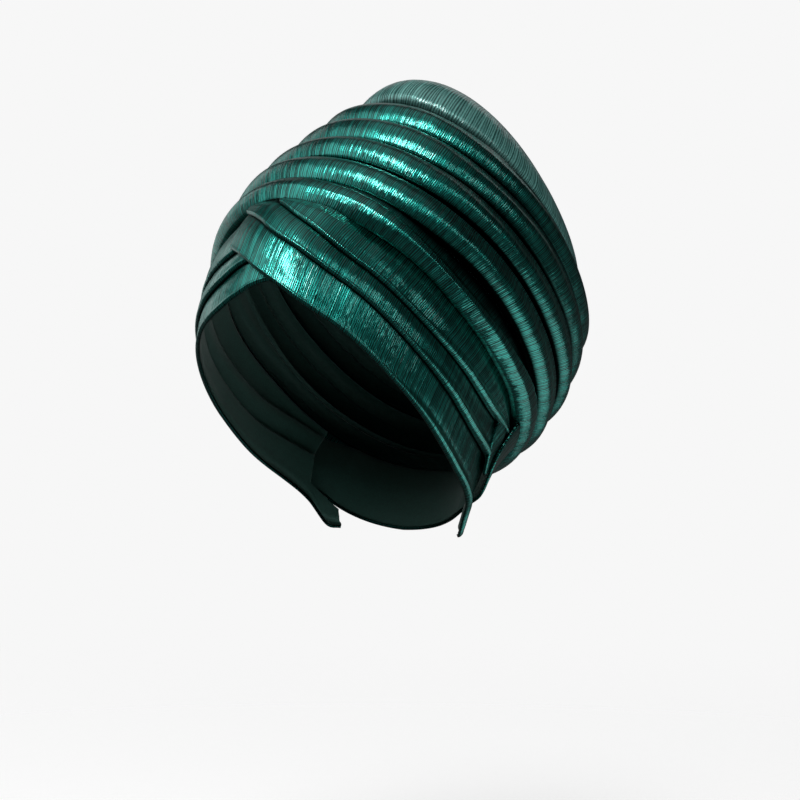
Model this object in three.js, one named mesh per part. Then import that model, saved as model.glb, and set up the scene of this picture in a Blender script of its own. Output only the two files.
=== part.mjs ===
// Turban headscarf: bands of foil cloth cross over the forehead, and above them a tall crown
// of five pleated rolls leans back and closes in a smooth rounded top. It is hollow throughout.
// Millimetres, +Z up. The wearer faces -Y, and the wearer's left is +X.
// The origin is the middle of the head at its widest girth, where the wrap grips.
import * as THREE from "three";

// The rim: the slanting edge that runs from the forehead to the nape
const rimLength = 212; // forehead to nape, along the slope
const rimWidth = 148; // ear to ear
const rimCentreY = -16;
const rimCentreZ = -45.5;
const crownLean = 45; // degrees that the crown leans back from upright
const crownHeight = 160; // rim to the highest roll, square to the rim

// The cloth
const wall = 1.8;
const gap = 0.4; // clearance between pieces
const rollHeight = 10.5; // how far a pleated roll stands out from the crown
const lap = wall + gap; // height of one layer of cloth over another
const foldWidth = 5; // length over which a band steps down off the band below it

// How fine the shapes are
const sectionTurn = 7.5; // degrees between sections, or the nearest even share of the way round
const rollSpans = 6; // flat faces across a roll
const sectionsRound = Math.round(360 / sectionTurn);
const turnStep = 360 / sectionsRound;

// Rings round the crown, from the rim up to the middle of the top. Each ring is named by its
// station. Reach runs from the crown's axis to the front or the back, as a share of half the
// rim's length. Rise is how high it stands over the rim at the front or the back, as a share of
// the crown's height. Half width is a share of half the rim's width. A curve of 1 is a plain
// ellipse, and less is squarer.
const rings = [
  {
    station: -0.5, frontReach: 0.915, frontRise: -0.138, backReach: 1.1, backRise: -0.05,
    halfWidth: 0.95, frontCurve: 1.1, backCurve: 0.84,
  },
  {
    station: 0, frontReach: 0.99, frontRise: 0.006, backReach: 0.99, backRise: 0.012,
    halfWidth: 1, frontCurve: 1.1, backCurve: 0.84,
  },
  {
    station: 0.5, frontReach: 1.042, frontRise: 0.166, backReach: 0.94, backRise: 0.131,
    halfWidth: 1.07, frontCurve: 1.1, backCurve: 0.88,
  },
  {
    station: 1, frontReach: 1.019, frontRise: 0.312, backReach: 0.96, backRise: 0.244,
    halfWidth: 1.125, frontCurve: 1.08, backCurve: 0.9,
  },
  {
    station: 2, frontReach: 1, frontRise: 0.412, backReach: 1.02, backRise: 0.338,
    halfWidth: 1.165, frontCurve: 1.03, backCurve: 0.92,
  },
  {
    station: 3, frontReach: 0.958, frontRise: 0.556, backReach: 1.123, backRise: 0.506,
    halfWidth: 1.176, frontCurve: 1, backCurve: 0.92,
  },
  {
    station: 4, frontReach: 0.901, frontRise: 0.7, backReach: 1.184, backRise: 0.675,
    halfWidth: 1.135, frontCurve: 1, backCurve: 0.92,
  },
  {
    station: 5, frontReach: 0.826, frontRise: 0.841, backReach: 1.212, backRise: 0.844,
    halfWidth: 1.041, frontCurve: 1, backCurve: 0.92,
  },
  {
    station: 6, frontReach: 0.75, frontRise: 0.978, backReach: 1.198, backRise: 1.006,
    halfWidth: 0.912, frontCurve: 1, backCurve: 0.92,
  },
  {
    station: 7, frontReach: 0.63, frontRise: 1.18, backReach: 1.09, backRise: 1.15,
    halfWidth: 0.67, frontCurve: 1, backCurve: 0.94,
  },
  {
    station: 8, frontReach: 0.36, frontRise: 1.29, backReach: 0.8, backRise: 1.25,
    halfWidth: 0.44, frontCurve: 1, backCurve: 1,
  },
  {
    station: 9, frontReach: -0.236, frontRise: 1.32, backReach: 0.236, backRise: 1.32,
    halfWidth: 0, frontCurve: 1, backCurve: 1,
  },
];

// Stations of the band edges on the wearer's left. Turn goes round the head in degrees: -90 is
// the front, 0 the side and 90 the back.
const leftBands = [
  { turn: -112.5, hem: 0.5, firstFold: 1.04, secondFold: 1.6 },
  { turn: -105, hem: 0.38, firstFold: 0.92, secondFold: 1.42 },
  { turn: -90, hem: 0.16, firstFold: 0.62, secondFold: 1.0 },
  { turn: -80, hem: 0.04, firstFold: 0.48, secondFold: 0.82 },
  { turn: -66, hem: -0.08, firstFold: 0.37, secondFold: 0.67 },
  { turn: -48, hem: -0.14, firstFold: 0.3, secondFold: 0.57 },
  { turn: -20, hem: -0.23, firstFold: 0.22, secondFold: 0.52 },
  { turn: 12, hem: -0.22, firstFold: 0.28, secondFold: 0.64 },
  { turn: 34, hem: -0.08, firstFold: 0.44, secondFold: 0.84 },
  { turn: 45, hem: -0.14, firstFold: 0.5, secondFold: 0.9 },
  { turn: 52.5, hem: -0.42, firstFold: 0.56, secondFold: 0.98 },
  { turn: 60, hem: -0.36, firstFold: 0.6, secondFold: 1 },
];

// The same on the wearer's right, where the bands lie lower and run under the left ones
const rightBands = [
  { turn: -105, hem: 0.1, firstFold: 0.34, secondFold: 0.62 },
  { turn: -92, hem: -0.06, firstFold: 0.26, secondFold: 0.55 },
  { turn: -83, hem: -0.18, firstFold: 0.18, secondFold: 0.44 },
  { turn: -70, hem: -0.3, firstFold: 0.04, secondFold: 0.33 },
  { turn: -48, hem: -0.3, firstFold: 0, secondFold: 0.32 },
  { turn: -20, hem: -0.24, firstFold: 0.08, secondFold: 0.4 },
  { turn: 12, hem: -0.2, firstFold: 0.2, secondFold: 0.56 },
  { turn: 34, hem: -0.08, firstFold: 0.4, secondFold: 0.8 },
  { turn: 45, hem: -0.14, firstFold: 0.48, secondFold: 0.88 },
  { turn: 52.5, hem: -0.42, firstFold: 0.56, secondFold: 0.98 },
  { turn: 60, hem: -0.36, firstFold: 0.6, secondFold: 1 },
];

// The lowest roll: the station of its lower lip and of its crest, and how steeply it falls from
// the crest to the crease above. A fall of 1 is round, and more leaves a wide hollow.
const lowestRoll = [
  { turn: -90, lip: 1.3, crest: 1.9, fall: 1.1 },
  { turn: -60, lip: 1.28, crest: 1.85, fall: 1.2 },
  { turn: -40, lip: 1.24, crest: 1.65, fall: 1.7 },
  { turn: -20, lip: 1.1, crest: 1.45, fall: 2.3 },
  { turn: 0, lip: 1.18, crest: 1.6, fall: 2 },
  { turn: 20, lip: 1.45, crest: 2.0, fall: 1 },
  { turn: 50, lip: 1.42, crest: 2.0, fall: 1 },
  { turn: 90, lip: 1.35, crest: 1.95, fall: 1 },
];

// Stations of the creases above each roll
const creases = [2.45, 3.42, 4.36, 5.4, 6.35];

// The smooth top, from the crease above the last roll to its middle: the share of that way, and
// how far it stands out as a share of a roll's height
const topSkin = [
  { way: 0, lift: 0 },
  { way: 0.06, lift: 0.6 },
  { way: 0.17, lift: 0.85 },
  { way: 0.3, lift: 0.8 },
  { way: 0.47, lift: 0.66 },
  { way: 0.68, lift: 0.44 },
  { way: 0.86, lift: 0.3 },
  { way: 1, lift: 0.2 },
];
const topMiddle = rings.at(-1).station;

// The flaps at the nape: stations of their edges, and how many layers of cloth they cover.
// The panel covers the ends of the bands and runs up to the lowest roll.
const napePanel = [
  { turn: 30, lower: 0.72, cover: 3 },
  { turn: 37.5, lower: 0.4, cover: 3 },
  { turn: 45, lower: 0.18, cover: 2.6 },
  { turn: 52.5, lower: 0.12, cover: 1 },
  { turn: 60, lower: 0.04, cover: 0 },
  { turn: 90, lower: -0.05, cover: 0 },
];
const napeTuck = [
  { turn: 22.5, lower: 0.66, upper: 0.96, cover: 2 },
  { turn: 30, lower: 0.4, upper: 0.86, cover: 2 },
  { turn: 37.5, lower: 0.12, upper: 0.6, cover: 2 },
];

// A smooth curve through the rows of a table, for every column
function read(table, key, x) {
  let i = 0;
  while (i < table.length - 2 && table[i + 1][key] <= x) i++;
  const start = table[i];
  const end = table[i + 1];
  const before = table[Math.max(i - 1, 0)];
  const after = table[Math.min(i + 2, table.length - 1)];
  const span = end[key] - start[key];
  const t = (x - start[key]) / span;
  const row = {};
  for (const column of Object.keys(start)) {
    const slopeIn = (end[column] - before[column]) / (end[key] - before[key]);
    const slopeOut = (after[column] - start[column]) / (after[key] - start[key]);
    row[column] =
      (2 * t ** 3 - 3 * t ** 2 + 1) * start[column] +
      (t ** 3 - 2 * t ** 2 + t) * span * slopeIn +
      (3 * t ** 2 - 2 * t ** 3) * end[column] +
      (t ** 3 - t ** 2) * span * slopeOut;
  }
  return row;
}

const lean = THREE.MathUtils.degToRad(crownLean);
const axis = new THREE.Vector3(0, Math.sin(lean), Math.cos(lean)); // square to the rim
const slope = new THREE.Vector3(0, axis.z, -axis.y); // from the forehead down to the nape
const rimCentre = new THREE.Vector3(0, rimCentreY, rimCentreZ);

// The crown's own surface at a turn and a station, before anything stands out from it
function crownPoint(turn, station) {
  const ring = read(rings, "station", station);
  const angle = THREE.MathUtils.degToRad(turn);
  const curve = Math.sin(angle) > 0 ? ring.backCurve : ring.frontCurve;
  const across = Math.sign(Math.cos(angle)) * Math.abs(Math.cos(angle)) ** curve;
  const along = Math.sign(Math.sin(angle)) * Math.abs(Math.sin(angle)) ** curve;
  const front = rimCentre.clone()
    .addScaledVector(axis, ring.frontRise * crownHeight)
    .addScaledVector(slope, -ring.frontReach * rimLength / 2);
  const back = rimCentre.clone()
    .addScaledVector(axis, ring.backRise * crownHeight)
    .addScaledVector(slope, ring.backReach * rimLength / 2);
  const point = front.lerp(back, (1 + along) / 2);
  point.x = across * ring.halfWidth * rimWidth / 2;
  return point;
}

// A point that stands out from the crown by a height
function clothPoint(turn, station, height) {
  const point = crownPoint(turn, station);
  const step = 0.01;
  const round = crownPoint(turn + step, station).sub(crownPoint(turn - step, station));
  const up = crownPoint(turn, station + step).sub(crownPoint(turn, station - step));
  return point.addScaledVector(round.cross(up).normalize(), height);
}

// How many stations make a length along the crown
function stations(turn, station, length) {
  const step = 0.05;
  return length * 2 * step / crownPoint(turn, station + step).distanceTo(crownPoint(turn, station - step));
}

// Sweeps a section round the crown from one turn to another. The section gives the outer and the
// inner face at a turn, as station and height pairs from the lower edge to the upper one.
function wrap(name, colour, fromTurn, toTurn, section, mirrored = false) {
  const start = Math.round(fromTurn / turnStep);
  const steps = Math.round(toTurn / turnStep) - start;
  const closed = steps === sectionsRound;
  const rows = closed ? steps : steps + 1;
  const positions = [];
  let across = 0;
  for (let i = 0; i < rows; i++) {
    const turn = (start + i) * turnStep;
    const { outer, inner } = section(turn);
    across = outer.length;
    for (const [station, height] of [...outer, ...inner]) {
      const point = clothPoint(turn, station, height);
      positions.push(mirrored ? -point.x : point.x, point.y, point.z);
    }
  }
  const faces = [];
  const quad = (a, b, c, d) => faces.push(...(mirrored ? [a, c, b, a, d, c] : [a, b, c, a, c, d]));
  const outerAt = (i, k) => (i % rows) * 2 * across + k;
  const innerAt = (i, k) => outerAt(i, k) + across;
  const top = across - 1;
  for (let i = 0; i < steps; i++) {
    for (let k = 0; k < top; k++) {
      quad(outerAt(i, k), outerAt(i + 1, k), outerAt(i + 1, k + 1), outerAt(i, k + 1));
      quad(innerAt(i, k), innerAt(i, k + 1), innerAt(i + 1, k + 1), innerAt(i + 1, k));
    }
    quad(innerAt(i, 0), innerAt(i + 1, 0), outerAt(i + 1, 0), outerAt(i, 0));
    quad(innerAt(i, top), outerAt(i, top), outerAt(i + 1, top), innerAt(i + 1, top));
  }
  if (!closed) {
    for (let k = 0; k < top; k++) {
      quad(innerAt(0, k), outerAt(0, k), outerAt(0, k + 1), innerAt(0, k + 1));
      quad(innerAt(steps, k), innerAt(steps, k + 1), outerAt(steps, k + 1), outerAt(steps, k));
    }
  }
  return clothMesh(name, colour, positions, faces);
}

function clothMesh(name, colour, positions, faces) {
  const geometry = new THREE.BufferGeometry();
  geometry.setAttribute("position", new THREE.Float32BufferAttribute(positions, 3));
  geometry.setIndex(faces);
  geometry.computeVertexNormals();
  const material = new THREE.MeshStandardMaterial({ color: colour, roughness: 0.32, metalness: 0.85 });
  const mesh = new THREE.Mesh(geometry, material);
  mesh.name = name;
  return mesh;
}

// Where the bands end, in turns. The lowest ones run on as a short tail below the nape.
const leftEndTurns = [-105, -105, -90];
const rightEndTurn = -105;
const napeEndTurn = 45;
const tailEndTurn = 60;
const tailTopStation = -0.08;
const tailFlare = 3;

const bandColour = 0x0b5a48;
const rollColour = 0x0d6b55;
const topColour = 0x2c7a66;

// The turn on the left side that matches any turn round the crown
const sideTurn = (turn) => {
  const whole = ((turn + 90) % 360 + 360) % 360 - 90;
  return whole > 90 ? 180 - whole : whole;
};
const rollLip = (turn) => read(lowestRoll, "turn", sideTurn(turn)).lip;

// A face of cloth at a height, with its outside one wall further out
const clothFace = (profile) => ({
  outer: profile.map(([station, height]) => [station, height + wall]),
  inner: profile,
});

// A band steps down between these distances from its lower fold, in fold widths
const stepFrom = 1.5;
const stepTo = 2.5;

// One band of the wrap: its lower fold lies over the band below, and past that band's end it
// steps down onto the head where there is room. The lift carries it over what crosses beneath.
function band(edges, level, turn, lift) {
  const row = read(edges, "turn", turn);
  const lip = rollLip(turn);
  const top = lip - stations(turn, lip, gap);
  const lower = [row.hem, row.firstFold, row.secondFold][level];
  const above = [row.firstFold, row.secondFold, top][level];
  const fold = stations(turn, lower, foldWidth);
  const tail = level === 0 && turn > napeEndTurn;
  const upper = tail ? tailTopStation : Math.min(above + stations(turn, above, foldWidth), top);
  const flare = tail ? tailFlare * (1 - (tailEndTurn - turn) / turnStep) : 0;
  const raised = lift + (level > 0 ? lap : 0) + flare;
  const width = upper - lower;
  const stepStart = lower + Math.min(stepFrom * fold, width / 2);
  const stepEnd = lower + Math.min(stepTo * fold, width * 3 / 4);
  const room = THREE.MathUtils.clamp(width / fold - stepTo, 0, 1);
  const lowered = level > 0 ? raised + (lift - raised) * room : raised;
  return clothFace([[lower, raised], [stepStart, raised], [stepEnd, lowered], [upper, lowered]]);
}

// The left bands rise over the right ones where they cross at the forehead
const crossTurn = -75;
const crossRunTurn = 22.5;
const leftLift = (turn) => {
  const share = THREE.MathUtils.smoothstep(-turn, -crossTurn - crossRunTurn, -crossTurn);
  return share * (2 * lap + gap);
};

const scarf = new THREE.Group();
for (let level = 0; level < 3; level++) {
  scarf.add(
    wrap(`left_wrap_${level + 1}`, bandColour, leftEndTurns[level], level ? napeEndTurn : tailEndTurn,
      (turn) => band(leftBands, level, turn, leftLift(turn))),
    wrap(`right_wrap_${level + 1}`, bandColour, rightEndTurn, level ? napeEndTurn : tailEndTurn,
      (turn) => band(rightBands, level, turn, 0), true),
  );
}

// The rolls: cloth folded into a C, open towards the head
function roll(lower, crest, upper, turn, fall) {
  const outer = [];
  const inner = [];
  const low = lower + stations(turn, lower, gap / 2);
  const high = upper - stations(turn, upper, gap / 2);
  const side = stations(turn, crest, wall);
  for (let k = 0; k <= rollSpans; k++) {
    const angle = -Math.PI / 2 + Math.PI * k / rollSpans;
    const swell = Math.max(Math.cos(angle), 0) ** (angle > 0 ? fall : 1);
    const reach = Math.sin(angle) * (angle > 0 ? high - crest : crest - low);
    const innerReach = Math.sin(angle) * (angle > 0 ? high - crest - side : crest - low - side);
    outer.push([crest + reach, rollHeight * swell]);
    inner.push([crest + innerReach, (rollHeight - wall) * swell]);
  }
  return { outer, inner };
}

scarf.add(wrap("pleat_roll_1", rollColour, -90, 270, (turn) => {
  const row = read(lowestRoll, "turn", sideTurn(turn));
  return roll(row.lip, row.crest, creases[0], turn, row.fall);
}));
for (let i = 1; i < creases.length; i++) {
  const middle = (creases[i - 1] + creases[i]) / 2;
  scarf.add(wrap(`pleat_roll_${i + 1}`, rollColour, -90, 270,
    (turn) => roll(creases[i - 1], middle, creases[i], turn, 1)));
}

// The smooth top closes the crown. Its two skins meet at the crease above the highest roll.
function crownTop() {
  const start = creases.at(-1);
  const levels = topSkin.slice(0, -1);
  const positions = [];
  for (const depth of [0, wall]) {
    for (const { way, lift } of levels) {
      for (let i = 0; i < sectionsRound; i++) {
        const turn = i * turnStep;
        const edge = stations(turn, start, gap / 2 + depth) * (1 - way);
        const station = start + (topMiddle - start) * way + edge;
        const height = Math.max(lift * rollHeight - depth, 0);
        positions.push(...clothPoint(turn, station, height).toArray());
      }
    }
    const middle = crownPoint(0, topMiddle);
    middle.addScaledVector(axis, topSkin.at(-1).lift * rollHeight - depth);
    positions.push(...middle.toArray());
  }
  const skinSize = levels.length * sectionsRound + 1;
  const outerAt = (level, i) => level * sectionsRound + (i % sectionsRound);
  const innerAt = (level, i) => skinSize + outerAt(level, i);
  const last = levels.length - 1;
  const faces = [];
  for (let i = 0; i < sectionsRound; i++) {
    for (let level = 0; level < last; level++) {
      const [a, b] = [outerAt(level, i), outerAt(level, i + 1)];
      const [d, c] = [outerAt(level + 1, i), outerAt(level + 1, i + 1)];
      faces.push(a, b, c, a, c, d);
      const inward = [a, c, b, a, d, c];
      faces.push(...inward.map((corner) => corner + skinSize));
    }
    faces.push(outerAt(last, i), outerAt(last, i + 1), skinSize - 1);
    faces.push(innerAt(last, i), 2 * skinSize - 1, innerAt(last, i + 1));
    faces.push(innerAt(0, i), innerAt(0, i + 1), outerAt(0, i + 1));
    faces.push(innerAt(0, i), outerAt(0, i + 1), outerAt(0, i));
  }
  return clothMesh("crown_top", topColour, positions, faces);
}
scarf.add(crownTop());

// A flap of plain cloth over the layers below it
function flap(edges, turn) {
  const row = read(edges, "turn", sideTurn(turn));
  const lip = rollLip(turn);
  const upper = row.upper ?? lip - stations(turn, lip, gap);
  const height = Math.max(row.cover, 0) * lap;
  const middle = (row.lower + upper) / 2;
  return clothFace([[row.lower, height], [middle, height], [upper, height]]);
}

const [tuckStartTurn, tuckEndTurn] = [22.5, 37.5];
const panelStartTurn = 30;
scarf.add(
  wrap("nape_tuck_left", bandColour, tuckStartTurn, tuckEndTurn, (turn) => flap(napeTuck, turn)),
  wrap("nape_tuck_right", bandColour, tuckStartTurn, tuckEndTurn, (turn) => flap(napeTuck, turn),
    true),
  wrap("nape_panel", bandColour, panelStartTurn, 180 - panelStartTurn,
    (turn) => flap(napePanel, turn)),
);

export default scarf;
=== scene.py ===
import math

import bmesh
import bpy
import numpy as np
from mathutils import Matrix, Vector


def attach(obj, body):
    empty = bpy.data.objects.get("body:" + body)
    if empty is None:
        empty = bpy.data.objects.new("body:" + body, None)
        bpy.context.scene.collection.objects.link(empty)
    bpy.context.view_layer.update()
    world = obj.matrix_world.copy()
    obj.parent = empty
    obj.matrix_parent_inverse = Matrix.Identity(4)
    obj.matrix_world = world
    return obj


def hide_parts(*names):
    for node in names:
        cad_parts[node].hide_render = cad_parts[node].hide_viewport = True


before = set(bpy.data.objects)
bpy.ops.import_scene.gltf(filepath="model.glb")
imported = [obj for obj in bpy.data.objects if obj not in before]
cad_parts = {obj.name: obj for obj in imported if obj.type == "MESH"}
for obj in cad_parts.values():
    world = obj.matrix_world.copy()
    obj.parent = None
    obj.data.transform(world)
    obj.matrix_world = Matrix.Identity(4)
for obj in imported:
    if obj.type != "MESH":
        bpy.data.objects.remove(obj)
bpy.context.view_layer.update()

scene = bpy.context.scene
scene.view_settings.view_transform = "Standard"

# The camera stands off the wearer's left front, a little above the rim, with a long lens.
# The frame's origin is a little left of the picture's middle and above it.
camera_turn = math.radians(34)
camera_rise = math.radians(4)
camera_distance = 1.6
picture_width = 0.4545
off_middle = Vector((0.03125, 0, -0.03977))
sensor = 0.036

back = Vector((
    math.sin(camera_turn) * math.cos(camera_rise),
    -math.cos(camera_turn) * math.cos(camera_rise),
    math.sin(camera_rise),
))
right = Vector((math.cos(camera_turn), math.sin(camera_turn), 0))
up = back.cross(right)
target = right * off_middle.x + up * off_middle.z
camera = bpy.data.objects.new("camera", bpy.data.cameras.new("camera"))
camera.data.sensor_width = sensor * 1000
camera.data.lens = sensor * 1000 * camera_distance / picture_width
camera.data.clip_end = 10 * camera_distance
camera.location = target + back * camera_distance
camera.rotation_euler = (-back).to_track_quat("-Z", "Y").to_euler()
scene.collection.objects.link(camera)
scene.camera = camera

# A plain pale floor lies well below the scarf, which is shown at the height where it is worn.
# It is matt card that fades out into the pale surroundings.
floor_height = -0.4
floor_reach = 3.0
fade_start = 0.35
fade_end = 1.5
card_white = 0.9
card_glow = 0.62
bm = bmesh.new()
bmesh.ops.create_circle(bm, cap_ends=True, segments=96, radius=floor_reach)
bmesh.ops.translate(bm, verts=bm.verts, vec=(0, 0, floor_height))
floor_mesh = bpy.data.meshes.new("floor")
bm.to_mesh(floor_mesh)
bm.free()
floor = bpy.data.objects.new("floor", floor_mesh)
scene.collection.objects.link(floor)
card = bpy.data.materials.new("pale card")
card.use_nodes = True
nodes, links = card.node_tree.nodes, card.node_tree.links
surface = nodes["Principled BSDF"]
surface.inputs["Base Color"].default_value = (card_white, card_white, card_white, 1)
surface.inputs["Roughness"].default_value = 0.8
surface.inputs["Emission Color"].default_value = (1, 1, 1, 1)
surface.inputs["Emission Strength"].default_value = card_glow
place = nodes.new("ShaderNodeTexCoord")
radius = nodes.new("ShaderNodeVectorMath")
radius.operation = "LENGTH"
fade = nodes.new("ShaderNodeMapRange")
fade.interpolation_type = "SMOOTHSTEP"
fade.inputs["From Min"].default_value = fade_start
fade.inputs["From Max"].default_value = fade_end
fade.inputs["To Min"].default_value = 1
fade.inputs["To Max"].default_value = 0
links.new(place.outputs["Object"], radius.inputs[0])
links.new(radius.outputs["Value"], fade.inputs["Value"])
links.new(fade.outputs["Result"], surface.inputs["Alpha"])
floor_mesh.materials.append(card)
floor.visible_glossy = False

# Studio light: a soft box above the camera is the key, with two dim ones at the wearer's left
# and wide faint fills from the front, the right and the back. The rest of the studio is dark, but
# for a pale backdrop and a pale ceiling.
soft_boxes = (
    # name, azimuth, elevation, distance, width, height, power in watts
    ("key light", 28, 46, 1.5, 0.36, 0.3, 10),
    ("side light", 86, 22, 1.5, 0.24, 0.36, 0.75),
    ("low light", 112, -48, 0.6, 0.7, 0.4, 0.65),
    ("front fill", -34, 36, 1.9, 1.9, 1.6, 8),
    ("right light", -105, 8, 1.7, 0.9, 1.4, 2.6),
    ("back light", 205, 26, 1.9, 1.5, 0.8, 1.2),
)
for name, azimuth, elevation, distance, width, height, power in soft_boxes:
    light = bpy.data.objects.new(name, bpy.data.lights.new(name, "AREA"))
    light.data.shape = "RECTANGLE"
    light.data.size = width
    light.data.size_y = height
    light.data.energy = power
    a, e = math.radians(azimuth), math.radians(elevation)
    way = Vector((math.sin(a) * math.cos(e), -math.cos(a) * math.cos(e), math.sin(e)))
    light.location = way * distance
    light.rotation_euler = way.to_track_quat("Z", "Y").to_euler()
    light.visible_camera = False
    scene.collection.objects.link(light)

# The surroundings' brightness, from straight down to straight up
surroundings = (
    (0.0, 0.05), (0.4, 0.05), (0.47, 0.025), (0.56, 0.025), (0.66, 0.015), (0.88, 0.015),
    (0.94, 0.2), (1.0, 0.4),
)

# What the camera itself sees behind the scarf and the floor
page_white = 0.93
studio = bpy.data.worlds.new("studio")
studio.use_nodes = True
scene.world = studio
nodes, links = studio.node_tree.nodes, studio.node_tree.links
sky = nodes["Background"]
direction = nodes.new("ShaderNodeTexCoord")
heights = nodes.new("ShaderNodeSeparateXYZ")
shift = nodes.new("ShaderNodeMapRange")
shift.inputs["From Min"].default_value = -1
tone = nodes.new("ShaderNodeValToRGB")
ramp = tone.color_ramp
for at, grey in surroundings[1:-1]:
    ramp.elements.new(at)
for element, (at, grey) in zip(ramp.elements, surroundings):
    element.position = at
    element.color = (grey, grey, grey, 1)
ray = nodes.new("ShaderNodeLightPath")
seen = nodes.new("ShaderNodeMix")
seen.data_type = "RGBA"
seen.inputs["B"].default_value = (page_white, page_white, page_white, 1)
links.new(direction.outputs["Generated"], heights.inputs["Vector"])
links.new(heights.outputs["Z"], shift.inputs["Value"])
links.new(shift.outputs["Result"], tone.inputs["Fac"])
links.new(tone.outputs["Color"], seen.inputs["A"])
links.new(ray.outputs["Is Camera Ray"], seen.inputs["Factor"])
links.new(seen.outputs["Result"], sky.inputs["Color"])

# The flat bands: three folded tiers on each side run from the front to the nape, each lapping over
# the one below, and the left ones cross over the right ones at the front. They are one ribbed foil
# cloth, pulled tight, with soft folds for edges that stand up more towards the nape.
rim_length = 0.212
rim_width = 0.148
rim_centre = np.array((0, -0.016, -0.0455))
crown_height = 0.16
crown_lean = math.radians(45)
wall = 0.0018
gap = 0.0004
lap = wall + gap
fold_width = 0.005

axis = np.array((0, math.sin(crown_lean), math.cos(crown_lean)))
slope = np.array((0, axis[2], -axis[1]))

# Rings of the crown: station, then as shares of its sizes the front's reach and rise, the back's
# reach and rise and the half width, and then how square the front and the back are
rings = np.array([
    (-0.5, 0.915, -0.138, 1.1, -0.05, 0.95, 1.1, 0.84),
    (0, 0.99, 0.006, 0.99, 0.012, 1, 1.1, 0.84),
    (0.5, 1.042, 0.166, 0.94, 0.131, 1.07, 1.1, 0.88),
    (1, 1.019, 0.312, 0.96, 0.244, 1.125, 1.08, 0.9),
    (2, 1, 0.412, 1.02, 0.338, 1.165, 1.03, 0.92),
    (3, 0.958, 0.556, 1.123, 0.506, 1.176, 1, 0.92),
    (4, 0.901, 0.7, 1.184, 0.675, 1.135, 1, 0.92),
    (5, 0.826, 0.841, 1.212, 0.844, 1.041, 1, 0.92),
    (6, 0.75, 0.978, 1.198, 1.006, 0.912, 1, 0.92),
    (7, 0.63, 1.18, 1.09, 1.15, 0.67, 1, 0.94),
    (8, 0.36, 1.29, 0.8, 1.25, 0.44, 1, 1),
    (9, -0.236, 1.32, 0.236, 1.32, 0, 1, 1),
])


def read(table, x):
    """A smooth curve through a table's rows, read at x, with a column for each of the table's."""
    keys = table[:, 0]
    i = np.clip(np.searchsorted(keys, x, side="right") - 1, 0, len(keys) - 2)
    before = np.maximum(i - 1, 0)
    after = np.minimum(i + 2, len(keys) - 1)
    span = (keys[i + 1] - keys[i])[:, None]
    t = (x - keys[i])[:, None] / span
    slope_in = (table[i + 1] - table[before]) / (keys[i + 1] - keys[before])[:, None]
    slope_out = (table[after] - table[i]) / (keys[after] - keys[i])[:, None]
    return (
        (2 * t**3 - 3 * t**2 + 1) * table[i]
        + (t**3 - 2 * t**2 + t) * span * slope_in
        + (3 * t**2 - 2 * t**3) * table[i + 1]
        + (t**3 - t**2) * span * slope_out
    ).T


def crown_point(turn, station):
    """The crown's own surface. A turn of -90 is the front, 0 the wearer's left and 90 the back."""
    _, front_reach, front_rise, back_reach, back_rise, half_width, front_curve, back_curve = (
        read(rings, station)
    )
    angle = np.radians(turn)
    curve = np.where(np.sin(angle) > 0, back_curve, front_curve)
    across = np.sign(np.cos(angle)) * np.abs(np.cos(angle)) ** curve
    along = np.sign(np.sin(angle)) * np.abs(np.sin(angle)) ** curve
    rise = front_rise + (back_rise - front_rise) * (1 + along) / 2
    reach = -front_reach + (back_reach + front_reach) * (1 + along) / 2
    point = (
        rim_centre
        + np.outer(rise * crown_height, axis)
        + np.outer(reach * rim_length / 2, slope)
    )
    point[:, 0] = across * half_width * rim_width / 2
    return point


def cloth_point(turn, station, height):
    """A point that stands out from the crown by a height."""
    step = 0.01
    round_way = crown_point(turn + step, station) - crown_point(turn - step, station)
    up_way = crown_point(turn, station + step) - crown_point(turn, station - step)
    out = np.cross(round_way, up_way)
    out /= np.linalg.norm(out, axis=1)[:, None]
    return crown_point(turn, station) + out * height[:, None]


def stations(turn, station, length):
    """How many stations a length covers up the crown."""
    step = 0.05
    apart = crown_point(turn, station + step) - crown_point(turn, station - step)
    return length * 2 * step / np.linalg.norm(apart, axis=1)


def smooth(low, high, x):
    """A soft step from 0 at low to 1 at high."""
    t = np.clip((x - low) / (high - low), 0, 1)
    return t * t * (3 - 2 * t)


def side_turn(turn):
    """The turn on the wearer's left that matches any turn round the crown."""
    whole = (turn + 90) % 360 - 90
    return np.where(whole > 90, 180 - whole, whole)


def ripple(turn, count, seed):
    """Slow waves along a fold, between -1 and 1, that meet again after a full turn."""
    angle = np.radians(turn)
    return (
        np.sin(count * angle + seed)
        + 0.6 * np.sin((count + 3) * angle + 2.1 * seed)
        + 0.5 * np.sin((2 * count + 1) * angle + 3.7 * seed)
    ) / 2.1


# From one rib to the next, and how near two points are before they are made one
rib_pitch = 0.00118
weld = 0.00001


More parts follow.
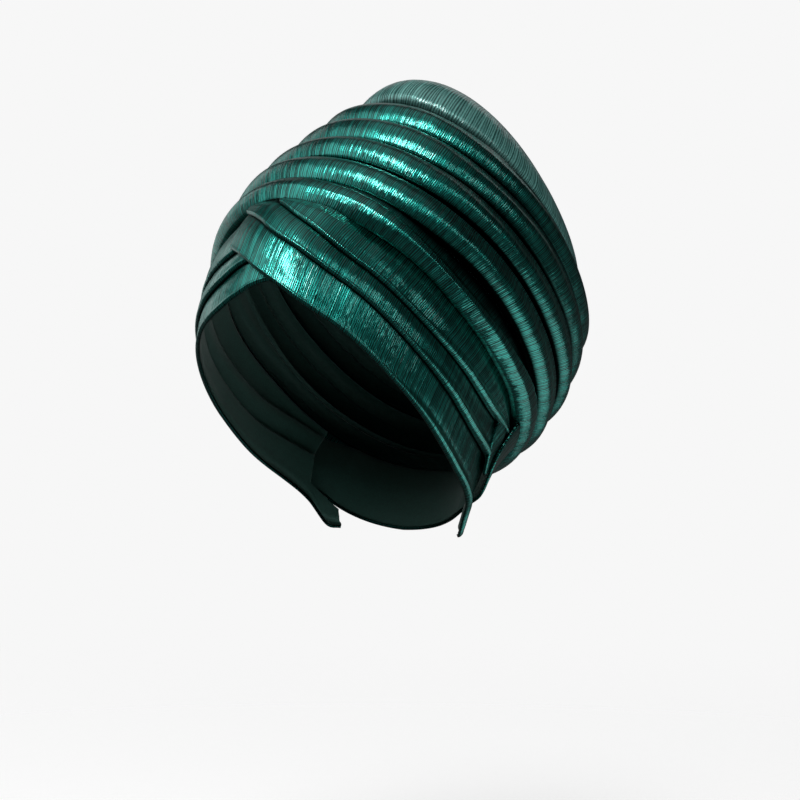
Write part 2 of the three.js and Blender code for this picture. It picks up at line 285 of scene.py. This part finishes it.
def lay_cloth(name, ends, steps, section, materials, mirrored=False):
    """A grid of cloth laid round the crown, with its ribs square to its length.

    The ends are turns, the steps are the faces round and across, and the section gives each
    point's station, height and share of painted light, which the foil reads to paint crease shade.
    """
    bm = bmesh.new()
    uv = bm.loops.layers.uv.new("cloth")
    round_steps, across_steps = steps
    bmesh.ops.create_grid(
        bm, x_segments=round_steps, y_segments=across_steps, size=0.5, calc_uvs=True
    )
    shares = np.array([vertex.co for vertex in bm.verts]) + 0.5
    turn = ends[0] + (ends[1] - ends[0]) * shares[:, 0]
    station, height, painted_light = section(turn, shares[:, 1])
    points = cloth_point(turn, station, height)
    if mirrored:
        points[:, 0] *= -1
    # Each point's share of painted light: the foil darkens its colour towards a painted shadow
    # where it is low
    shade = bm.verts.layers.float.new("painted_light_share")
    for vertex, point, value in zip(bm.verts, points, painted_light):
        vertex.co = point
        vertex[shade] = value
    rows = points.reshape(across_steps + 1, round_steps + 1, 3)
    middle = rows[across_steps // 2]
    along = np.concatenate([[0], np.linalg.norm(np.diff(middle, axis=0), axis=1).cumsum()])
    along *= round(along[-1] / rib_pitch) * rib_pitch / along[-1]
    across = np.linalg.norm(np.diff(rows, axis=0), axis=2).cumsum(axis=0)
    across = np.vstack([np.zeros(round_steps + 1), across])
    bm.verts.ensure_lookup_table()
    for face in bm.faces:
        face.smooth = True
        for loop in face.loops:
            row, column = divmod(loop.vert.index, round_steps + 1)
            loop[uv].uv = (along[column], across[row, column])
    bmesh.ops.remove_doubles(bm, verts=bm.verts, dist=weld)
    if mirrored:
        bmesh.ops.reverse_faces(bm, faces=bm.faces)
    mesh = bpy.data.meshes.new(name)
    bm.to_mesh(mesh)
    bm.free()
    for material in materials:
        mesh.materials.append(material)
    piece = bpy.data.objects.new(name, mesh)
    scene.collection.objects.link(piece)
    thickness = piece.modifiers.new("thickness", "SOLIDIFY")
    thickness.thickness = wall
    thickness.offset = -1
    thickness.material_offset = 1
    return piece


# The painted shadow colour that the cloth's colour turns to far in a crease, and how strong the
# coat gloss is where no crease shade is painted; the painted shade fades the gloss out too
crease_shadow = (0, 0.004, 0.003)
gloss = 0.7


def foil_cloth(name, dark_tone_and_groove_shade, light, metal, roughness, pitch):
    """Ribbed metal foil cloth. The ribs run across the cloth, and no two lean quite alike.

    Its colour goes from a painted groove shade between the ribs to light on them, with threads,
    flecks and lines of random tone, and to a painted shadow in a crease.
    """
    material = bpy.data.materials.new(name)
    material.use_nodes = True
    nodes, links = material.node_tree.nodes, material.node_tree.links
    surface = nodes["Principled BSDF"]
    surface.inputs["Metallic"].default_value = metal
    surface.inputs["Roughness"].default_value = roughness
    surface.inputs["Anisotropic"].default_value = 0.5
    surface.inputs["Coat Roughness"].default_value = 0.2
    surface.inputs["Coat IOR"].default_value = 1.65
    place = nodes.new("ShaderNodeUVMap")
    place.uv_map = "cloth"

    def streaks(width, length, detail=1, low=0.3, high=0.7):
        """Random streaks from 0 to 1. Their width lies along the cloth, their length across it."""
        scaled = nodes.new("ShaderNodeMapping")
        scaled.inputs["Scale"].default_value = (1 / width, 1 / length, 1)
        links.new(place.outputs["UV"], scaled.inputs["Vector"])
        noise = nodes.new("ShaderNodeTexNoise")
        noise.inputs["Scale"].default_value = 1
        noise.inputs["Detail"].default_value = detail
        links.new(scaled.outputs["Vector"], noise.inputs["Vector"])
        spread = nodes.new("ShaderNodeMapRange")
        spread.inputs["From Min"].default_value = low
        spread.inputs["From Max"].default_value = high
        links.new(noise.outputs["Fac"], spread.inputs["Value"])
        return spread.outputs["Result"]

    def combine(operation, a, b):
        """The result of one operation on two values, each a number or a socket."""
        node = nodes.new("ShaderNodeMath")
        node.operation = operation
        for socket, value in zip(node.inputs, (a, b)):
            if isinstance(value, (int, float)):
                socket.default_value = value
            else:
                links.new(value, socket)
        return node.outputs["Value"]

    def weigh(*terms):
        """The sum of some values, each times its weight."""
        total = 0.0
        for value, weight in terms:
            total = combine("ADD", combine("MULTIPLY", value, weight), total)
        return total

    parts = nodes.new("ShaderNodeSeparateXYZ")
    links.new(place.outputs["UV"], parts.inputs["Vector"])
    wander = streaks(width=0.008, length=0.05)
    count = combine("ADD", combine("DIVIDE", parts.outputs["X"], pitch), wander)
    phase = combine("MULTIPLY", count, 2 * math.pi)
    rib = combine("SINE", phase, 0)
    lean = combine("COSINE", phase, 0)
    threads = streaks(width=pitch * 0.5, length=0.08)
    flecks = streaks(width=pitch * 0.4, length=0.0035)
    lines = streaks(width=pitch * 1.1, length=0.09, detail=2, low=0.42, high=0.58)
    waves = streaks(width=0.011, length=0.025)

    # Each rib leans along the cloth, and a little across it. The last weight of each sum centres it
    # on a half, which is upright.
    tilt = nodes.new("ShaderNodeNormalMap")
    tilt.uv_map = "cloth"
    leaning = nodes.new("ShaderNodeCombineXYZ")
    leaning.inputs["Z"].default_value = 1
    links.new(
        weigh((lean, 0.07), (threads, 0.12), (lines, 0.06), (waves, 0.05), (1, 0.385)),
        leaning.inputs["X"],
    )
    links.new(weigh((flecks, 0.1), (waves, 0.05), (1, 0.425)), leaning.inputs["Y"])
    links.new(leaning.outputs["Vector"], tilt.inputs["Color"])
    links.new(tilt.outputs["Normal"], surface.inputs["Normal"])
    links.new(tilt.outputs["Normal"], surface.inputs["Coat Normal"])

    # The rib sine paints shade into the grooves between the ribs; threads, flecks and lines add
    # tone that differs at random
    mix = nodes.new("ShaderNodeMix")
    mix.data_type = "RGBA"
    mix.inputs["A"].default_value = (*dark_tone_and_groove_shade, 1)
    mix.inputs["B"].default_value = (*light, 1)
    links.new(
        weigh((rib, 0.36), (threads, 0.2), (flecks, 0.25), (lines, 0.5)), mix.inputs["Factor"]
    )
    # Painted crease shade: this attribute mixes the colour towards the painted shadow colour and
    # fades the coat gloss out in creases
    painted_shade = nodes.new("ShaderNodeAttribute")
    painted_shade.attribute_name = "painted_light_share"
    shadow = nodes.new("ShaderNodeMix")
    shadow.data_type = "RGBA"
    shadow.inputs["A"].default_value = (*crease_shadow, 1)
    links.new(painted_shade.outputs["Fac"], shadow.inputs["Factor"])
    links.new(combine("MULTIPLY", painted_shade.outputs["Fac"], gloss), surface.inputs["Coat Weight"])
    links.new(mix.outputs["Result"], shadow.inputs["B"])
    links.new(shadow.outputs["Result"], surface.inputs["Base Color"])
    tangent = nodes.new("ShaderNodeTangent")
    tangent.direction_type = "UV_MAP"
    tangent.uv_map = "cloth"
    links.new(tangent.outputs["Tangent"], surface.inputs["Tangent"])
    return material


# How much darker and lighter than its colour the backing's threads are
dark_thread = 0.55
light_thread = 1.3


def plain_reverse(name, colour):
    """The cloth's wrong side: a plain matt backing with a fine uneven weave."""
    material = bpy.data.materials.new(name)
    material.use_nodes = True
    nodes, links = material.node_tree.nodes, material.node_tree.links
    surface = nodes["Principled BSDF"]
    surface.inputs["Roughness"].default_value = 0.75
    surface.inputs["Sheen Weight"].default_value = 0.2
    place = nodes.new("ShaderNodeTexCoord")
    weave = nodes.new("ShaderNodeTexNoise")
    weave.inputs["Scale"].default_value = 900
    links.new(place.outputs["Object"], weave.inputs["Vector"])
    mix = nodes.new("ShaderNodeMix")
    mix.data_type = "RGBA"
    mix.inputs["A"].default_value = (*[dark_thread * c for c in colour], 1)
    mix.inputs["B"].default_value = (*[light_thread * c for c in colour], 1)
    links.new(weave.outputs["Fac"], mix.inputs["Factor"])
    links.new(mix.outputs["Result"], surface.inputs["Base Color"])
    bump = nodes.new("ShaderNodeBump")
    bump.inputs["Distance"].default_value = 0.0002
    bump.inputs["Strength"].default_value = 0.4
    links.new(weave.outputs["Fac"], bump.inputs["Height"])
    links.new(bump.outputs["Normal"], surface.inputs["Normal"])
    return material


# Band edges: turn, hem, first fold, second fold
left_bands = np.array([
    (-112.5, 0.5, 1.04, 1.6),
    (-105, 0.38, 0.86, 1.36),
    (-90, 0.16, 0.6, 0.98),
    (-80, 0.04, 0.47, 0.79),
    (-66, -0.08, 0.37, 0.66),
    (-48, -0.12, 0.32, 0.6),
    (-20, -0.23, 0.24, 0.54),
    (12, -0.3, 0.27, 0.64),
    (34, -0.2, 0.44, 0.9),
    (45, -0.2, 0.5, 0.98),
    (52.5, -0.42, 0.56, 0.98),
    (60, -0.36, 0.6, 1),
])
right_bands = np.array([
    (-105, 0.1, 0.34, 0.62),
    (-92, -0.06, 0.26, 0.55),
    (-83, -0.18, 0.18, 0.44),
    (-70, -0.3, 0.04, 0.33),
    (-48, -0.3, 0, 0.32),
    (-20, -0.24, 0.08, 0.4),
    (12, -0.2, 0.2, 0.56),
    (34, -0.08, 0.4, 0.8),
    (45, -0.14, 0.48, 0.88),
    (52.5, -0.42, 0.56, 0.98),
    (60, -0.36, 0.6, 1),
])

# The lowest roll: turn, lip, crest, the fine fold above the crest, and how high the hollow
# above that fold lies, as a share of the roll's height
lowest_roll = np.array([
    (-90, 1.3, 1.85, 2.2, 0.5),
    (-60, 1.28, 1.8, 2.1, 0.45),
    (-40, 1.24, 1.58, 1.8, 0.3),
    (-20, 1.12, 1.42, 1.64, 0.14),
    (0, 1.18, 1.56, 1.85, 0.12),
    (20, 1.42, 1.82, 2.2, 0.2),
    (50, 1.42, 1.95, 2.3, 0.4),
    (90, 1.35, 1.95, 2.3, 0.4),
])

# The upper edge of the lowest tier's end, close under the nape panel: turn, station
tail_top = np.array([(45, 0.18), (52.5, 0.118), (60, 0.036)])

# How far a band's folded edge stands up: turn, height
edge_ridge = np.array([
    (-110, 0.00025),
    (-60, 0.0003),
    (-30, 0.0004),
    (-10, 0.001),
    (15, 0.0018),
    (35, 0.0021),
    (60, 0.0012),
])

band_foil = foil_cloth(
    "band foil", dark_tone_and_groove_shade=(0.001, 0.03, 0.025), light=(0.022, 0.56, 0.47), metal=1, roughness=0.31,
    pitch=rib_pitch,
)
band_reverse = plain_reverse("band reverse", (0.006, 0.06, 0.046))

# Where the bands end, as turns, and how far the lowest tier's tail flares out before its end
left_ends = (-105, -105, -90)
right_end = -105
nape_end = 45
tail_end = 60
tail_flare = 0.003
tail_run = 7.5

# Where the left bands have risen over the right ones, and the turns that the rise takes
cross_turn = -75
cross_run = 22.5

# A band's faces, along it and across it
band_faces = (300, 44)

# The stretch behind a band's edge that takes half of the rows of faces, the most that it may be of
# the band's width, and how much the rows crowd to the edge
edge_run = 0.007
edge_run_share = 0.6
crowding = 1.3

# Where a band drops by a lap as it runs under the next one, as shares of its width
drop_start = 0.25
drop_end = 0.9

# The ridge along the edge: how far behind the edge it starts, its width at the front, how much
# wider it grows at the side, and over which turns it does
ridge_start = 0.0008
ridge_front_width = 0.0008
ridge_spread = 0.0018
ridge_turns = (-35, 10)

# The shallow hollow behind the ridge, its depth a share of the ridge's height, and the slight bulge
# of the band's face
hollow_share = 0.3
hollow_place = 0.006
hollow_width = 0.002
bulge_height = 0.0004

# How far the painted shade of a crease reaches in from the band above and from the band's own edge.
# The painted shade is full just past each edge.
crease_reach = 0.0022
edge_shade = 0.0006
shade_start = -0.0002


def rounded_edge(distance):
    """Height of a folded edge that is as round as the cloth is thick."""
    return wall * np.sqrt(1 - (1 - np.clip(distance / wall, 0, 1)) ** 2)


def band_section(edges, level, crossing):
    """The section of a band's outside, from its lower fold up under the next band."""

    def section(turn, share):
        _, hem, first_fold, second_fold = read(edges, turn)
        lip = read(lowest_roll, side_turn(turn))[1]
        top = lip - stations(turn, lip, gap)
        lower = (hem, first_fold, second_fold)[level]
        above = (first_fold, second_fold, top)[level]
        upper = np.minimum(above + stations(turn, above, fold_width), top)
        raised = np.zeros_like(turn) + (lap if level else 0)
        if level == 0:
            upper = np.where(turn > nape_end, read(tail_top, turn)[1], upper)
            raised += tail_flare * np.clip(1 - (tail_end - turn) / tail_run, 0, 1)
        if crossing:
            raised += (2 * lap + gap) * smooth(-cross_turn - cross_run, -cross_turn, -turn)
        width = (upper - lower) / stations(turn, lower, 1)
        run = np.minimum(edge_run, width * edge_run_share)
        near_edge = run * (2 * share) ** crowding
        distance = np.where(share < 0.5, near_edge, run + (width - run) * (2 * share - 1))
        drop = smooth(drop_start, drop_end, distance / width) if level else 0
        lift = raised - lap * drop * np.clip(width / fold_width - 1, 0, 1)
        ridge = read(edge_ridge, turn)[1]
        ridge_width = ridge_front_width + ridge_spread * smooth(*ridge_turns, side_turn(turn))
        bead = ridge * np.exp(-((distance - ridge_start - ridge_width) / ridge_width) ** 2)
        hollow = hollow_share * ridge * np.exp(-((distance - hollow_place) / hollow_width) ** 2)
        visible = (above - lower) / stations(turn, lower, 1)
        bulge = bulge_height * np.sin(np.pi * np.clip(distance / visible, 0, 1))
        # Painted shade: the colour darkens just under the band above and along the band's own fold
        # edge
        painted_light = smooth(shade_start, crease_reach, visible - distance)
        painted_light = painted_light * smooth(shade_start, edge_shade, distance)
        station = lower + stations(turn, lower, 1) * distance
        return station, lift + rounded_edge(distance) + bead + bulge - hollow, painted_light

    return section


for level in range(len(left_ends)):
    for side, edges in (("left", left_bands), ("right", right_bands)):
        start = left_ends[level] if side == "left" else right_end
        name = f"{side}_wrap_{level + 1}"
        band = lay_cloth(
            name + "_cloth", (start, tail_end if level == 0 else nape_end), band_faces,
            band_section(edges, level, side == "left"), (band_foil, band_reverse),
            mirrored=side == "right",
        )
        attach(band, "root")
        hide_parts(name)

# The pleated rolls: the same cloth gathered into five soft rolls that go right round the crown,
# each one lapping over the crease above the last. The lowest is the widest and hangs over the
# bands, with a wide hollow above it at each side.
roll_height = 0.0105
roll_gap = gap / 8
creases = (2.45, 3.42, 4.36, 5.4, 6.35)
crease_ripple = 0.03
height_ripple = 0.05
roll_foil = foil_cloth(
    "roll foil", dark_tone_and_groove_shade=(0.001, 0.028, 0.024), light=(0.022, 0.56, 0.47), metal=1, roughness=0.31,
    pitch=rib_pitch,
)
roll_reverse = plain_reverse("roll reverse", (0.006, 0.055, 0.043))

# Across a roll, from its lower edge up: share of the way, height at the front, height at the side
roll_shape = np.array([
    (0, 0, 0),
    (0.03, 0.42, 0.44),
    (0.09, 0.6, 0.68),
    (0.2, 0.83, 0.95),
    (0.32, 0.97, 1.0),
    (0.45, 1.0, 0.9),
    (0.58, 0.93, 0.77),
    (0.67, 0.84, 0.71),
    (0.72, 0.77, 0.74),
    (0.77, 0.7, 0.56),
    (0.82, 0.6, 0.2),
    (0.9, 0.38, 0.08),
    (0.95, 0.2, 0.05),
    (1, 0, 0),
])

# The lowest roll's face, from its lip up to its crest: share of the way, height
lip_shape = np.array([
    (0, 0),
    (0.03, 0.4),
    (0.1, 0.54),
    (0.4, 0.75),
    (0.7, 0.91),
    (0.88, 0.975),
    (1, 1),
])

# How far a roll's lip hangs down over its foot, and up to which share of the way
overhang = 0.0014
overhang_end = 0.3

# How much the lowest roll drops from its crest to the fold above, as a share of its height, and
# where the hollow past that fold is lowest and where it closes, as shares of the hollow's width
fold_drop = 0.12
hollow_low = 0.5
hollow_close = 0.85

# The turns over which a roll changes to its side shape and then partly back again
side_turns = (-70, -20)
back_turns = (35, 80)
back_share = 0.75

# Between which heights the painted shade of a crease fades out, at the front and at the side
foot_fade = ((0.25, 0.62), (0.52, 0.78))
back_fade = ((0.3, 0.62), (0.4, 0.62))

# For the lowest roll: the heights at its lip over which its painted shade fades out, and where the
# painted shade comes back across its hollow
lip_fade = (0.1, 0.5)
valley_fade = (0.1, 0.95)


def crease(number, turn):
    """Station of the crease above a roll, which wanders a little."""
    return creases[number] + crease_ripple * ripple(turn, count=3, seed=number + 1)


def between(front, side, share):
    """A pair of values, part of the way from the front's to the side's."""
    return [a + (b - a) * share for a, b in zip(front, side)]


def roll_section(index):
    """The section of a roll's outside, from the crease below it to the crease above."""

    def section(turn, share):
        across = (1 - np.cos(np.pi * share)) / 2
        high = crease(index, turn)
        high = high - stations(turn, high, roll_gap)
        if index:
            low = crease(index - 1, turn)
            low = low + stations(turn, low, roll_gap)
            _, front_height, side_height = read(roll_shape, across)
            near = side_turn(turn)
            side = smooth(*side_turns, near) * (1 - back_share * smooth(*back_turns, near))
            swell = front_height + (side_height - front_height) * side
            station = low + (high - low) * across
            # Painted shade: a roll's colour darkens by its height towards the crease at its foot
            # and at its back edge
            foot = smooth(*between(*foot_fade, side), swell)
            back_edge = smooth(*between(*back_fade, side), swell)
            painted_light = np.where(across < overhang_end, foot, back_edge)
        else:
            _, low, crest, fold, hollow = read(lowest_roll, side_turn(turn))
            station = low + (high - low) * across
            swell = read(lip_shape, np.clip((station - low) / (crest - low), 0, 1))[1]
            swell -= fold_drop * np.clip((station - crest) / (fold - crest), 0, 1) ** 2
            valley = (station - fold) / (high - fold)
            swell -= (1 - fold_drop - hollow) * smooth(0, hollow_low, valley)
            swell *= 1 - smooth(hollow_close, 1, valley)
            # Painted shade: dark comes back across the hollow above the lowest roll, and under its
            # lip
            painted_shade = smooth(*valley_fade, valley)
            painted_light = np.where(valley > 0, 1 - painted_shade, smooth(*lip_fade, swell))
        tuck = overhang * np.sin(np.pi * np.clip(swell, 0, 1)) * (across < overhang_end)
        station = station - stations(turn, station, 1) * tuck
        waves = ripple(turn, count=4, seed=2.3 * index + 1)
        height = roll_height * (1 + height_ripple * waves) * swell
        return station, height, painted_light

    return section


# A roll's faces, along it and across it, and a full turn from the back round to the back
roll_faces = (560, 36)
whole_round = (90, 450)
for index in range(len(creases)):
    name = f"pleat_roll_{index + 1}"
    roll = lay_cloth(
        name + "_cloth", whole_round, roll_faces, roll_section(index), (roll_foil, roll_reverse)
    )
    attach(roll, "root")
    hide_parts(name)

# The smooth top: one piece of the cloth drawn over the crown and held in the crease above the
# highest roll, so that its ribs run in towards the middle.
top_foil = foil_cloth(
    "top foil", dark_tone_and_groove_shade=(0.015, 0.1, 0.09), light=(0.26, 0.68, 0.62), metal=0.35, roughness=0.4,
    pitch=0.0014,
)
top_reverse = plain_reverse("top reverse", (0.007, 0.06, 0.048))

# The crease where the top starts, the station of its middle, and how far short of it the faces stop
top_crease = len(creases) - 1
top_middle = 9
middle_hole = 0.005

# The rim's share of the rows of faces, its share of the way, and how far in its painted crease
# shade reaches
top_faces = (480, 44)
rim_rows = 0.3
rim_share = 0.06
rim_shade = 0.04

# From the crease to the middle: share of the way, height as a share of a roll's
top_skin = np.array([
    (0, 0),
    (0.02, 0.42),
    (0.06, 0.68),
    (0.17, 0.85),
    (0.3, 0.8),
    (0.47, 0.66),
    (0.68, 0.44),
    (0.86, 0.3),
    (1, 0.2),
])


def top_section(turn, share):
    """The section of the top's outside, with nearly a third of its rows at its rim."""
    rim = rim_share * share / rim_rows
    rest = rim_share + (1 - rim_share) * (share - rim_rows) / (1 - rim_rows)
    way = np.where(share < rim_rows, rim, rest)
    start = crease(top_crease, turn)
    start = start + stations(turn, start, roll_gap)
    station = start + (top_middle - middle_hole - start) * way
    # The last value is painted shade, dark at the crease round the rim
    return station, roll_height * read(top_skin, way)[1], smooth(0, rim_shade, way)


top = lay_cloth("crown_top_cloth", whole_round, top_faces, top_section, (top_foil, top_reverse))
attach(top, "root")
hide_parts("crown_top")

# The nape: a plain panel covers the ends of the bands, and a small folded tuck stands beside it on
# each side. Both are the bands' cloth, and the lowest roll holds their upper edges.

# Each table's columns: turn, lower edge, for a tuck its upper edge, and how many laps it lies out
nape_panel = np.array([
    (30, 1.2, 3),
    (33, 0.72, 3),
    (37.5, 0.4, 3),
    (45, 0.18, 2.6),
    (52.5, 0.12, 1),
    (60, 0.04, 0),
    (90, -0.05, 0),
])
nape_tuck = np.array([
    (22.5, 0.66, 0.96, 1),
    (30, 0.4, 0.86, 2),
    (37.5, 0.12, 0.6, 2),
])

# A tuck tapers to a share of its width at its ends, along a curve, and a flap's rows of faces crowd
# to its lower edge
tip_share = 0.12
tip_curve = 0.7
row_curve = 1.5

# The painted shade along a flap's edges: its reach from the upper edge, where it starts and ends at
# the lower edge, and how dark the painted shade leaves a flap's first few degrees
flap_crease = 0.003
flap_shade = (-0.0004, 0.0014)
start_shade = 0.2
start_run = 6


def flap_section(edges):
    """The section of a flap's outside. A tuck's table also says where it ends above."""

    def section(turn, share):
        near = side_turn(turn)
        row = read(edges, near)
        lip = read(lowest_roll, near)[1]
        lower, upper = row[1], lip - stations(turn, lip, gap)
        if len(row) > 3:
            way = (near - edges[0, 0]) / (edges[-1, 0] - edges[0, 0])
            slim = tip_share + (1 - tip_share) * np.sin(np.pi * np.clip(way, 0, 1)) ** tip_curve
            middle = (row[1] + row[2]) / 2
            lower = middle - (row[2] - row[1]) / 2 * slim
            upper = middle + (row[2] - row[1]) / 2 * slim
        width = (upper - lower) / stations(turn, lower, 1)
        across = share**row_curve
        distance = width * across
        # Painted shade along the flap's upper and lower edges, and over its first few degrees
        painted_light = smooth(0, flap_crease, width - distance) * smooth(*flap_shade, distance)
        start = smooth(0, start_run, near - edges[0, 0])
        painted_light = painted_light * (start_shade + (1 - start_shade) * start)
        height = np.maximum(row[-1], 0) * lap + rounded_edge(distance)
        return lower + (upper - lower) * across, height, painted_light

    return section


flaps = (
    # name, table, turns, faces round and across, mirrored, cut
    ("nape_panel", nape_panel, (30, 150), (200, 40), False, (0.2, 0.04)),
    ("nape_tuck_left", nape_tuck, (22.5, 37.5), (48, 30), False, (0.035, 0.016)),
    ("nape_tuck_right", nape_tuck, (22.5, 37.5), (48, 30), True, (0.035, 0.016)),
)
for name, edges, ends, steps, mirrored, cut in flaps:
    flap = lay_cloth(
        name + "_cloth", ends, steps, flap_section(edges), (band_foil, band_reverse), mirrored
    )
    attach(flap, "root")
    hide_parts(name)
